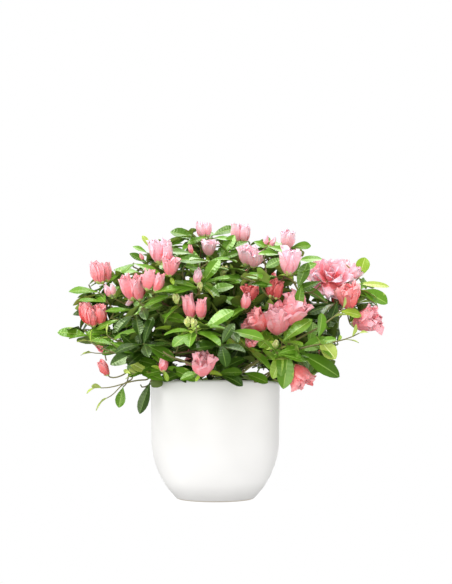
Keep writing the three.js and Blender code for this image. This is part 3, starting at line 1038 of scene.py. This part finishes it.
# The colours of each tone, in the order of the parts. Fresh, mid, dark and deep are lit and shaded copies
# of one leaf green, dealt out by place: painted light and shade (fresh also marks young leaves, and pale
# is young leaves' own colour).
LEAF_TONES = {
    "fresh": [(140, 173, 50), (182, 202, 104), (174, 192, 98)],
    "mid": [(93, 137, 34), (146, 178, 84), (146, 170, 76)],
    "dark": [(68, 105, 21), (124, 156, 70), (122, 146, 58)],
    "deep_shade": [(38, 66, 9), (90, 118, 48), (94, 116, 42)],
    "pale": [(166, 184, 84), (204, 216, 140), (176, 190, 100)],
}


def angle_in(rng, least, most):
    """A random angle between two numbers of degrees."""
    return math.radians(rng.uniform(least, most))


def shape_leaves(pile, rows):
    """Add the leaves of one piece, all at once."""
    base, way, face, length, width, bend, fold, twist, phase = columns_of(rows)
    u, v = LEAF_BLADE.u, LEAF_BLADE.v
    angle = bend * u
    forward, down = LEAF_BLADE.midrib(angle)
    centre = base + length * (way * forward - face * down)
    normal = face * np.cos(angle) + way * np.sin(angle)
    side = np.cross(way, face) + 0 * normal
    turned = side * np.cos(twist * u) + normal * np.sin(twist * u)
    normal = normal * np.cos(twist * u) - side * np.sin(twist * u)
    grown = np.clip((u - 0.05) / 0.95, 0, 1)
    outline = 0.07 + 0.93 * np.abs(np.sin(math.pi * grown ** 1.12)) ** 0.75
    outline = np.where(u >= 1, 0.03, outline)
    half = width / 2 * outline
    reach = half * v
    lift = np.sin(fold) * np.abs(reach) - 0.28 * np.sin(fold) * half * v ** 2
    lift = lift + 0.035 * width * np.sin(9 * u + phase + 1.2 * np.sign(v)) * np.abs(v) ** 2 * outline
    points = centre + turned * reach * np.cos(fold) + normal * lift
    upper = np.where(np.abs(LEAF_BLADE.quad_across) < 0.1, 1, 0)
    LEAF_BLADE.fill(pile, points, LEAF_THICKNESS, np.concatenate([upper, np.full(len(upper), 2)]))


def add_leaf(leaves, rng, base, axis, radial, opened, length, slender):
    """A leaf on a twig, opened so far from the twig's axis, with its face turned to the light."""
    way = unit(math.cos(opened) * axis + math.sin(opened) * radial)
    light = unit(0.4 * unit(base - HEART) + UP)
    face = math.sin(opened) * axis - math.cos(opened) * radial + 1.2 * light
    leaves.add(
        base, way, square_to(face, way), length, length * slender, angle_in(rng, 4, 34),
        angle_in(rng, 8, 30), angle_in(rng, -22, 22), rng.uniform(0, 6.3),
    )


def leaf_up_twig(leaves, rng, tip):
    """A whorl of leaves at a twig's end and more of them down the twig, each a golden angle on."""
    line = tip.twig[::-1]
    along = distance_along(line)
    axis = unit(unit(line[0] - line[2]) + 0.5 * UP)
    angle = rng.uniform(0, math.tau)
    whorl = int(rng.integers(6, 9)) if tip.lead is None else 3
    lower = int(rng.integers(3, 6)) if tip.lead is None else 1
    for number in range(whorl + lower):
        angle += GOLDEN_ANGLE
        back = WHORL_PITCH * min(number, whorl) + LOWER_PITCH * max(number - whorl + 1, 0)
        back += 2 * MM if tip.blooms else 0
        if back > 0.8 * along[-1]:
            break
        opened = math.radians(rng.uniform(50, 74) + (14 if tip.blooms else 0) + 12 * number / whorl)
        collar = bool(tip.blooms) and number < COLLAR_LEAVES
        length = rng.uniform(*LEAF_LENGTH) * (0.35 if collar else 0.8 if number < 2 else 1)
        tone = "fresh" if collar else tip.tone
        if number >= whorl and tone == "fresh":
            tone = "mid"
        base = points_at(back, along, line)
        slender = rng.uniform(*LEAF_SLENDER)
        add_leaf(leaves[tone], rng, base, axis, sideways(axis, angle), opened, length, slender)


def add_sprig(leaves, rng, tip):
    """A few small young leaves at the end of a bare twig."""
    axis = unit(tip.twig[-1] - tip.twig[-3])
    for number in range(tip.onward[2]):
        radial = sideways(axis, GOLDEN_ANGLE * number + tip.place[0] / MM)
        base = tip.twig[-1 - min(number, 3)]
        tone = "fresh" if number % 2 else "pale"
        length = rng.uniform(9, 16) * MM
        add_leaf(leaves[tone], rng, base, axis, radial, angle_in(rng, 25, 55), length, 0.4)


def add_lead_leaf(leaves, rng, tip):
    """The leaf that stands out at a tip."""
    way, face, length, width, tone = tip.lead
    leaves[tone].add(
        tip.place, way, square_to(face, way), length, width, angle_in(rng, 4, 22),
        angle_in(rng, 10, 20), angle_in(rng, -8, 8), rng.uniform(0, 6.3),
    )


def kept_leaves(rows, shown_blooms, all_blooms):
    """Which leaves stay: not those that cross a place where the sky shows, hang below the crown's lower
    edge, stand above its upper edge, hide a bloom of the front or run through any bloom."""
    keep = np.ones(len(rows), bool)
    base, way, length = rows[:, :3], rows[:, 3:6], rows[:, 9:10]
    for share in (0.3, 0.65, 1.0):
        spots = base + way * length * share
        seen = seen_from_front(spots)
        across, up = seen.T
        keep &= up > np.interp(across, *LOWER_EDGE.T)
        keep &= up < np.interp(across, *UPPER_EDGE.T) + 4 * MM
        keep &= ~within(seen, SKY)
        for centre, radius in shown_blooms:
            clear = np.linalg.norm(seen - seen_from_front(centre), axis=1) > radius
            keep &= clear | (spots[:, 1] > centre[1] + 3 * MM)
        for centre, radius in all_blooms:
            keep &= np.linalg.norm(spots - centre, axis=1) > 0.55 * radius
    return keep


def build_leaves(tips, rng):
    leaves = {tone: Sheets() for tone in LEAF_TONES}
    shown_blooms = bloom_balls([tip for tip in tips if tip.front])
    all_blooms = bloom_balls(tips)
    for tip in tips:
        if not tip.onward:
            leaf_up_twig(leaves, rng, tip)
    for group in leaves.values():
        if group.rows:
            rows = np.array(group.rows)
            group.rows = list(rows[kept_leaves(rows, shown_blooms, all_blooms)])
    for tip in tips:
        if tip.lead:
            add_lead_leaf(leaves, rng, tip)
        if tip.onward:
            add_sprig(leaves, rng, tip)
    for tone, group in leaves.items():
        finishes = [
            leaf_finish(f"{part}_{tone}", srgb(*colour), roughness, depth)
            for (part, roughness, depth), colour in zip(LEAF_PARTS, LEAF_TONES[tone])
        ]
        rows = np.array(group.rows)
        pieces = math.ceil(len(rows) / LEAVES_PER_PIECE)
        for number in range(pieces):
            pile = Pile()
            shape_leaves(pile, rows[number::pieces])
            pile.piece(f"leaves_{tone}_{number + 1}", finishes, "foliage", MASS_NODES)


# ------------------------------------------------------------------ blossom
# The whorls of petals of each stage, from the outside in: how many petals, their length and width as
# shares of the stage's size, how far they open at the base and at the tip in degrees, how much they
# curl round, and how far their edges are ruffled as a share of their length.
STAGES = {
    "scale_bud": [(4, 0.8, 0.85, 84, -38, 1.0, 0.0), (4, 1.0, 0.8, 78, -40, 1.0, 0.0)],
    "bud": [(3, 0.96, 0.7, 66, -24, 1.0, 0.0), (3, 1.0, 0.64, 60, -24, 1.0, 0.0)],
    "cup": [
        (5, 0.96, 0.54, 62, -13, 1.0, 0.03), (4, 1.0, 0.5, 52, -12, 1.0, 0.03),
        (2, 0.93, 0.42, 30, -8, 1.0, 0.03),
    ],
    "rosebud": [
        (5, 0.9, 0.62, 77, -1, 1.0, 0.065), (5, 1.0, 0.56, 65, -4, 1.0, 0.065),
        (4, 0.98, 0.5, 46, -5, 1.0, 0.06), (3, 0.9, 0.42, 24, -4, 1.0, 0.05),
    ],
    "half_open": [
        (6, 0.93, 0.6, 72, 6, 1.0, 0.055), (5, 1.0, 0.56, 60, 4, 1.0, 0.06),
        (4, 0.96, 0.5, 44, 0, 1.0, 0.055), (3, 0.88, 0.42, 24, -2, 1.0, 0.05),
    ],
    "open": [
        (5, 1.0, 0.8, 72, 94, 2.4, 0.06), (5, 0.98, 0.72, 62, 68, 2.0, 0.07),
        (4, 0.88, 0.66, 46, 38, 1.5, 0.07), (3, 0.74, 0.56, 28, 14, 1.2, 0.05),
        (2, 0.6, 0.46, 16, 0, 1.0, 0.03),
    ],
}
FLARE = {"cup": 17, "rosebud": 28, "half_open": 42}  # how far petals' tips can turn out, in degrees
# The radius of each stage as it shows, as a share of its size.
SHOWN = {"scale_bud": 0.4, "bud": 0.5, "cup": 0.55, "rosebud": 0.58, "half_open": 0.62, "open": 0.95}
# The colours of each group of blooms: the petals' base, body, rim and inner face. The deep group is the
# coral darkened for blooms inside the crown: painted shade.
PETAL_TONES = {
    "pale": [(255, 210, 176), (255, 170, 180), (255, 212, 223), (253, 144, 148)],
    "pink": [(255, 186, 150), (255, 136, 142), (255, 180, 188), (250, 112, 114)],
    "coral": [(252, 166, 130), (253, 116, 114), (255, 166, 168), (242, 88, 82)],
    "deep_shade": [(190, 100, 72), (198, 82, 80), (216, 110, 108), (166, 50, 46)],
    "green": [(160, 180, 90), (196, 206, 112), (224, 224, 154), (190, 200, 110)],
}
PETAL_STEPS = 6  # from the colour of the body to the colour of the rim
PETAL_BLADE = Blade([0, 0.1, 0.26, 0.44, 0.6, 0.74, 0.86, 0.95, 1], [-1, -0.72, -0.38, 0, 0.38, 0.72, 1])
SCALE_BLADE = Blade([0, 0.2, 0.45, 0.7, 0.9, 1], [-1, -0.5, 0, 0.5, 1])
PETAL_THICKNESS = 0.35 * MM
PETAL_KEEL = 0.19  # how sharply the tip is folded along its middle
HEADS_APART = 0.19  # how far the heads of a group stand from its middle, as a share of their size
HEADS_LEAN = 0.06  # how much each head beside the first makes them lean out
SEPALS = 5
# Folds across a petal: depth, waves over its half width, turns of phase, where they rise and over how
# much of its length.
PETAL_FOLDS = [(0.8, 4.2, 2, 0.6, 0.4), (0.5, 7.5, 3, 0.72, 0.28), (0.7, 5.2, 2.3, 0.1, 0.4)]


def shape_petals(pile, petals, blade):
    """Add the petals of one colour group, all at once."""
    columns = columns_of(np.array(petals.rows))
    base, axis, radial, length, width, start, end, curl, ruffle, skew, phase, reach, flare = columns
    u, v = blade.u, blade.v
    angle = end + (start - end) * (1 - u) ** 2.2 + flare * smoothstep((u - 0.7) / 0.3)
    upward, outward = blade.midrib(angle)
    centre = base + radial * (reach + length * outward) + axis * (length * upward)
    out = np.cos(angle) * radial - np.sin(angle) * axis
    side = np.cross(axis, radial) + 0 * out
    side = unit(side * np.cos(skew) + out * np.sin(skew))
    out = square_to(out, side)
    rise = 0.3 + 0.7 * smoothstep(u / 0.55)
    tip = np.maximum(1 - np.maximum((u - 0.5) / 0.5, 0) ** 1.7, 0.0006) ** 0.58
    half = width / 2 * rise * tip
    bend = np.maximum(curl * (reach + length * np.abs(outward) * 0.6 + 0.12 * length), 0.55 * half)
    turned = v * half / bend
    edge = np.abs(v) ** 2 * smoothstep((u - 0.15) / 0.5)
    folds = np.sin(7.5 * u + phase + 1.5 * np.sign(v)) * edge
    for depth, pitch, turn, rise_from, rise_over in PETAL_FOLDS:
        folds = folds + depth * np.sin(pitch * v + turn * phase) * smoothstep((u - rise_from) / rise_over)
    keel = PETAL_KEEL * half * np.abs(v) * smoothstep((u - 0.4) / 0.6)
    height = ruffle * length * folds - bend * (1 - np.cos(turned)) - keel
    points = centre + side * (bend * np.sin(turned)) + out * height
    blade.fill(pile, points, PETAL_THICKNESS, petal_tones(blade))


def petal_tones(blade):
    """The material numbers of a petal's outer and then its inner quads, as petal_finishes lists them."""
    along = blade.quad_along
    margin = 0.4 * smoothstep((np.abs(blade.quad_across) - 0.4) / 0.5) * smoothstep(along / 0.4)
    paler = np.round((PETAL_STEPS - 1) * smoothstep((along - 0.4) / 0.6 + margin)).astype(int)
    outer = np.where(along < 0.1, 0, 1 + paler)
    inner = np.where(along < 0.4, 1 + PETAL_STEPS, 1 + paler)
    return np.concatenate([outer, inner])


def petal_finishes(name):
    """The finishes of a colour group: the base, the steps from body to rim, and the inner face."""
    base, body, rim, inside = (np.array(colour) for colour in PETAL_TONES[name])
    steps = [body + (rim - body) * share for share in np.linspace(0, 1, PETAL_STEPS)]
    return [petal_finish(f"petal_{name}_{k + 1}", srgb(*c)) for k, c in enumerate([base, *steps, inside])]


def add_head(petals, rng, base, axis, stage, size):
    """One flower or bud on its base."""
    spin = rng.uniform(0, math.tau)
    for number, (count, length, width, start, end, curl, ruffle) in enumerate(STAGES[stage]):
        for k in range(count):
            angle = spin + math.tau * (k + 0.5 * number + rng.uniform(-0.1, 0.1)) / count
            flare = math.radians(FLARE.get(stage, 0) / (1 + 0.5 * number) * rng.random())
            petals.add(
                base, axis, sideways(axis, angle), size * length * rng.uniform(0.86, 1.07),
                size * width * rng.uniform(0.9, 1.08), math.radians(start + rng.uniform(-5, 5)),
                math.radians(end + rng.uniform(-1, 1) * (12 if stage == "open" else 6)), curl, ruffle,
                rng.uniform(-0.2, 0.25), rng.uniform(0, 6.3), size * 0.05, flare,
            )


def add_sepals(sepals, rng, base, axis, size):
    """The small green sepals under a flower."""
    spin = rng.uniform(0, math.tau)
    for k in range(SEPALS):
        sepals.add(
            base - axis * 0.04 * size, axis, sideways(axis, spin + math.tau * k / SEPALS),
            size * rng.uniform(0.22, 0.32), size * 0.17, math.radians(72), math.radians(34),
            1.1, 0.0, 0.0, 0.0, size * 0.04, 0.0,
        )


def build_blossom(tips, rng):
    groups = {name: Sheets() for name in PETAL_TONES}
    sepals = Sheets()
    for tip in tips:
        for stage, size, heads, way, group in tip.blooms:
            spin = rng.uniform(-0.5, 0.5) if tip.front else rng.uniform(0, math.tau)
            for k in range(heads):
                aside = sideways(way, spin + math.tau * k / heads)
                axis = unit(way + aside * HEADS_LEAN * (heads - 1))
                base = tip.place + aside * size * (0 if heads == 1 else HEADS_APART)
                head_size = size * (1 if k == 0 else rng.uniform(0.8, 0.98))
                add_head(groups[group], rng, base, axis, stage, head_size)
                if stage != "scale_bud":
                    add_sepals(sepals, rng, base, axis, head_size)
    for name, group in groups.items():
        finishes = petal_finishes(name)
        pile = Pile()
        if name == "green":
            shape_petals(pile, group, SCALE_BLADE)
            shape_petals(pile, sepals, SCALE_BLADE)
            pile.piece("bud_scales", finishes, "blossom", MASS_NODES)
        else:
            shape_petals(pile, group, PETAL_BLADE)
            pile.piece(f"blooms_{name}", finishes, "blossom", MASS_NODES)


# ------------------------------------------------------------------ all together
def main():
    place_camera()
    light_studio()
    build_pot()
    build_soil()
    build_trunk_and_boughs()
    rng = np.random.default_rng(PLANT_SEED)
    tips = front_tips()
    tips += scattered_tips(rng, tips, TIP_SPACING, TIP_SINK)
    deal_hidden_blooms(rng, tips)
    tips += scattered_tips(rng, tips, INNER_SPACING, INNER_SINK, inner=True)
    stems = []
    for mass, (line, radii) in BOUGHS.items():
        own = [tip for tip in tips if tip.mass == mass]
        if own:
            grow(stems, rng, line[-1], unit(line[-1] - line[-2]), radii[-1], own)
    pass_behind(stems, bloom_balls([tip for tip in tips if tip.front]))
    build_twigs(stems)
    build_leaves(tips, rng)
    build_blossom(tips, rng)


main()
